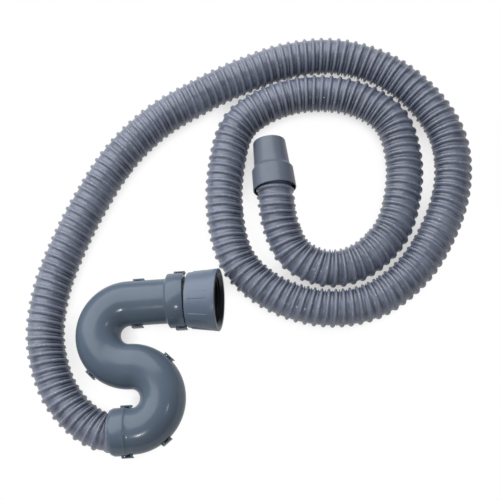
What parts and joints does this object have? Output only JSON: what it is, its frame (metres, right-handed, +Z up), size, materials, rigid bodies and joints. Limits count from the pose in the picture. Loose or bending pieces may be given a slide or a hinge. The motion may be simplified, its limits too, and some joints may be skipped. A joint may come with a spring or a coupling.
{
  "type": "drain hose extension",
  "caption": "Ribbed flexible drain hose through a two-bend plastic trap, with a swivel coupling nut at one end and a stepped cuff at the other.",
  "frame": {"origin": "on the floor, under the middle of the trap with its nut", "axes": "+Z up; +X the way the coupling nut's mouth points, seen from above, within 2 degrees; +Y from the trap's outlet towards its inlet"},
  "size_m": [0.4212, 0.4102, 0.0603],
  "materials": {
    "trap_plastic": "moulded grey plastic, satin gloss",
    "nut_plastic": "moulded grey plastic, satin",
    "ferrule_plastic": "moulded dark grey plastic, satin",
    "seal_rubber": "matt black rubber",
    "hose_plastic": "ribbed soft grey plastic, glossy",
    "cuff_plastic": "soft moulded grey plastic, satin"
  },
  "bodies": {
    "trap": {"trap_shell_upper": "trap_plastic", "trap_shell_lower": "trap_plastic", "hose_ferrule": "ferrule_plastic", "sealing_washer": "seal_rubber", "hose": "hose_plastic", "cuff": "cuff_plastic"},
    "coupling": {"coupling_nut": "nut_plastic"}
  },
  "joints": [
    {"name": "nut_spin", "type": "hinge", "parent": "trap", "child": "coupling", "pos_m": [0.03132, 0.0578, 0.0263], "axis": [0.9885, -0.0178, 0.1502], "continuous": true}
  ]
}
